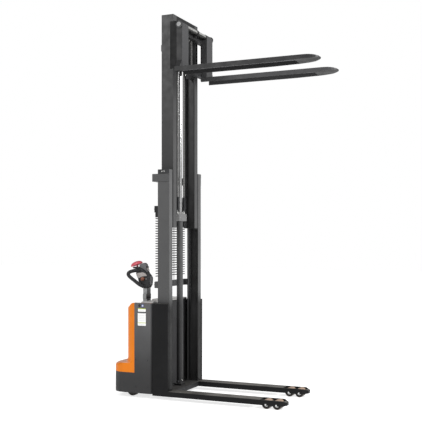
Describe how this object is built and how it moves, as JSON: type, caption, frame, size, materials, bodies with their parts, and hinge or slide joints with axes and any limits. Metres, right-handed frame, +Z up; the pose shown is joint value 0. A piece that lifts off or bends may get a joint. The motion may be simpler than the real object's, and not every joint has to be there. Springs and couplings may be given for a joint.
{
  "type": "walkie stacker",
  "caption": "Pedestrian electric stacker with a raised two-stage mast, paired forks above their support legs, an orange drive cover and a tilting tiller.",
  "frame": {"origin": "on the floor under the centre of the bounding box", "axes": "+X along the forks away from the tiller, +Y to the right seen from the tip of the forks with +Z up, +Z up"},
  "size_m": [1.99, 0.758, 3.513],
  "materials": {
    "charcoal_paint": "satin powder coat",
    "grey_paint": "satin paint",
    "light_grey": "satin paint",
    "orange_cover": "semi-gloss moulded cover",
    "steel": "machined",
    "chrome": "hard chrome",
    "polyurethane": "cast polyurethane tread on a cast-iron hub",
    "rubber": "solid rubber tyre",
    "black_plastic": "fine texture",
    "light_plastic": "satin",
    "red_plastic": "gloss",
    "chain_steel": "oiled leaf chain"
  },
  "bodies": {
    "chassis": {"chassis_frame": "charcoal_paint", "bulkhead_plate": "charcoal_paint", "base_crossmember": "charcoal_paint", "support_leg_left": "charcoal_paint", "support_leg_right": "charcoal_paint", "rear_cover": "orange_cover", "side_panel_left": "grey_paint", "side_panel_right": "grey_paint", "top_cover": "grey_paint", "battery": "black_plastic", "hydraulic_power_unit": "black_plastic", "motor_controller": "black_plastic", "outer_upright_left": "charcoal_paint", "outer_upright_right": "charcoal_paint", "outer_top_tie": "charcoal_paint", "outer_middle_tie": "charcoal_paint", "guard_top_bar": "charcoal_paint", "mesh_guard": "charcoal_paint", "cylinder_tube": "charcoal_paint", "cylinder_clamp": "light_grey"},
    "inner_mast": {"inner_upright_left": "charcoal_paint", "inner_upright_right": "charcoal_paint", "inner_bottom_tie": "charcoal_paint", "rod_crosshead": "charcoal_paint", "inner_top_crossmember": "charcoal_paint", "piston_rod": "chrome", "lift_chain_left": "chain_steel", "lift_chain_right": "chain_steel"},
    "fork_carriage": {"carriage_frame": "charcoal_paint", "fork_shaft": "chrome", "fork_left": "charcoal_paint", "fork_right": "charcoal_paint"},
    "drive_unit": {"gearbox": "steel", "drive_motor_and_column": "charcoal_paint"},
    "drive_wheel": {"drive_wheel": "polyurethane"},
    "tiller": {"tiller_arm": "charcoal_paint", "tiller_head": "black_plastic", "handle_loop_left": "black_plastic", "handle_loop_right": "black_plastic"},
    "throttle": {"throttle": "light_plastic"},
    "belly_button": {"belly_button": "red_plastic"},
    "lift_rocker": {"lift_rocker": "light_plastic"},
    "key_switch": {"key_switch": "steel"},
    "emergency_stop": {"emergency_stop": "red_plastic"},
    "mast_roller_left": {"mast_roller_left": "steel"},
    "chain_sheave_left": {"chain_sheave_left": "steel"},
    "carriage_roller_left_1": {"carriage_roller_left_1": "steel"},
    "carriage_roller_left_2": {"carriage_roller_left_2": "steel"},
    "mast_roller_right": {"mast_roller_right": "steel"},
    "chain_sheave_right": {"chain_sheave_right": "steel"},
    "carriage_roller_right_1": {"carriage_roller_right_1": "steel"},
    "carriage_roller_right_2": {"carriage_roller_right_2": "steel"},
    "caster_left": {"caster_fork_left": "steel"},
    "caster_wheel_left": {"caster_wheel_left": "rubber"},
    "load_wheel_left_1": {"load_wheel_left_1": "polyurethane"},
    "load_wheel_left_2": {"load_wheel_left_2": "polyurethane"},
    "caster_right": {"caster_fork_right": "steel"},
    "caster_wheel_right": {"caster_wheel_right": "rubber"},
    "load_wheel_right_1": {"load_wheel_right_1": "polyurethane"},
    "load_wheel_right_2": {"load_wheel_right_2": "polyurethane"}
  },
  "joints": [
    {"name": "mast_lift", "type": "slide", "parent": "chassis", "child": "inner_mast", "axis": [0, 0, 1], "range_m": [-1.4575, 0], "deforming": ["lift_chain_left", "lift_chain_right"]},
    {"name": "carriage_lift", "type": "slide", "parent": "inner_mast", "child": "fork_carriage", "axis": [0, 0, 1], "range_m": [-1.4575, 0]},
    {"name": "mast_roller_left_spin", "type": "hinge", "parent": "inner_mast", "child": "mast_roller_left", "pos_m": [-0.461, -0.3, 1.625], "axis": [0, 1, 0], "continuous": true},
    {"name": "chain_sheave_left_spin", "type": "hinge", "parent": "inner_mast", "child": "chain_sheave_left", "pos_m": [-0.4155, -0.068, 3.36], "axis": [0, 1, 0], "continuous": true},
    {"name": "carriage_roller_left_1_spin", "type": "hinge", "parent": "fork_carriage", "child": "carriage_roller_left_1", "pos_m": [-0.461, -0.22, 3.055], "axis": [0, 1, 0], "continuous": true},
    {"name": "carriage_roller_left_2_spin", "type": "hinge", "parent": "fork_carriage", "child": "carriage_roller_left_2", "pos_m": [-0.461, -0.22, 3.34], "axis": [0, 1, 0], "continuous": true},
    {"name": "mast_roller_right_spin", "type": "hinge", "parent": "inner_mast", "child": "mast_roller_right", "pos_m": [-0.461, 0.3, 1.625], "axis": [0, 1, 0], "continuous": true},
    {"name": "chain_sheave_right_spin", "type": "hinge", "parent": "inner_mast", "child": "chain_sheave_right", "pos_m": [-0.4155, 0.068, 3.36], "axis": [0, 1, 0], "continuous": true},
    {"name": "carriage_roller_right_1_spin", "type": "hinge", "parent": "fork_carriage", "child": "carriage_roller_right_1", "pos_m": [-0.461, 0.22, 3.055], "axis": [0, 1, 0], "continuous": true},
    {"name": "carriage_roller_right_2_spin", "type": "hinge", "parent": "fork_carriage", "child": "carriage_roller_right_2", "pos_m": [-0.461, 0.22, 3.34], "axis": [0, 1, 0], "continuous": true},
    {"name": "steer", "type": "hinge", "parent": "chassis", "child": "drive_unit", "pos_m": [-0.8165, 0, 0.105], "axis": [0, 0, 1], "range_deg": [-90, 90]},
    {"name": "drive_wheel_spin", "type": "hinge", "parent": "drive_unit", "child": "drive_wheel", "pos_m": [-0.8165, 0, 0.105], "axis": [0, 1, 0], "continuous": true},
    {"name": "tiller_tilt", "type": "hinge", "parent": "drive_unit", "child": "tiller", "pos_m": [-0.8165, 0, 0.912], "axis": [0, -1, 0], "range_deg": [0, 65], "stiffness_Nm_per_rad": 4, "springref_deg": -68.75},
    {"name": "throttle_turn", "type": "hinge", "parent": "tiller", "child": "throttle", "pos_m": [-0.833, 0, 1.075], "axis": [0, 1, 0], "range_deg": [-30, 30], "stiffness_Nm_per_rad": 0.6},
    {"name": "belly_button_push", "type": "slide", "parent": "tiller", "child": "belly_button", "axis": [0, 0, 1], "range_m": [-0.005, 0], "stiffness_N_per_m": 900},
    {"name": "lift_rocker_tip", "type": "hinge", "parent": "tiller", "child": "lift_rocker", "pos_m": [-0.8035, 0, 1.165], "axis": [0, 1, 0], "range_deg": [-8, 8], "stiffness_Nm_per_rad": 0.5},
    {"name": "key_turn", "type": "hinge", "parent": "chassis", "child": "key_switch", "pos_m": [-0.626, -0.06, 0.899], "axis": [0, 0, 1], "range_deg": [0, 90]},
    {"name": "emergency_stop_push", "type": "slide", "parent": "chassis", "child": "emergency_stop", "axis": [0, 0, 1], "range_m": [-0.006, 0]},
    {"name": "caster_swivel_left", "type": "hinge", "parent": "chassis", "child": "caster_left", "pos_m": [-0.786, -0.262, 0.15], "axis": [0, 0, 1], "continuous": true},
    {"name": "caster_wheel_left_spin", "type": "hinge", "parent": "caster_left", "child": "caster_wheel_left", "pos_m": [-0.816, -0.262, 0.0575], "axis": [0, 1, 0], "continuous": true},
    {"name": "load_wheel_left_1_spin", "type": "hinge", "parent": "chassis", "child": "load_wheel_left_1", "pos_m": [0.5345, -0.307, 0.041], "axis": [0, 1, 0], "continuous": true},
    {"name": "load_wheel_left_2_spin", "type": "hinge", "parent": "chassis", "child": "load_wheel_left_2", "pos_m": [0.631, -0.307, 0.041], "axis": [0, 1, 0], "continuous": true},
    {"name": "caster_swivel_right", "type": "hinge", "parent": "chassis", "child": "caster_right", "pos_m": [-0.786, 0.262, 0.15], "axis": [0, 0, 1], "continuous": true},
    {"name": "caster_wheel_right_spin", "type": "hinge", "parent": "caster_right", "child": "caster_wheel_right", "pos_m": [-0.816, 0.262, 0.0575], "axis": [0, 1, 0], "continuous": true},
    {"name": "load_wheel_right_1_spin", "type": "hinge", "parent": "chassis", "child": "load_wheel_right_1", "pos_m": [0.5345, 0.307, 0.041], "axis": [0, 1, 0], "continuous": true},
    {"name": "load_wheel_right_2_spin", "type": "hinge", "parent": "chassis", "child": "load_wheel_right_2", "pos_m": [0.631, 0.307, 0.041], "axis": [0, 1, 0], "continuous": true}
  ],
  "couplings": [
    {"joint": "carriage_lift", "follows": "mast_lift", "ratio": 1},
    {"joint": "mast_roller_left_spin", "follows": "mast_lift", "rad_per_m": 21.053},
    {"joint": "chain_sheave_left_spin", "follows": "mast_lift", "rad_per_m": 25},
    {"joint": "carriage_roller_left_1_spin", "follows": "mast_lift", "rad_per_m": 21.053},
    {"joint": "carriage_roller_left_2_spin", "follows": "mast_lift", "rad_per_m": 21.053},
    {"joint": "mast_roller_right_spin", "follows": "mast_lift", "rad_per_m": 21.053},
    {"joint": "chain_sheave_right_spin", "follows": "mast_lift", "rad_per_m": 25},
    {"joint": "carriage_roller_right_1_spin", "follows": "mast_lift", "rad_per_m": 21.053},
    {"joint": "carriage_roller_right_2_spin", "follows": "mast_lift", "rad_per_m": 21.053}
  ]
}
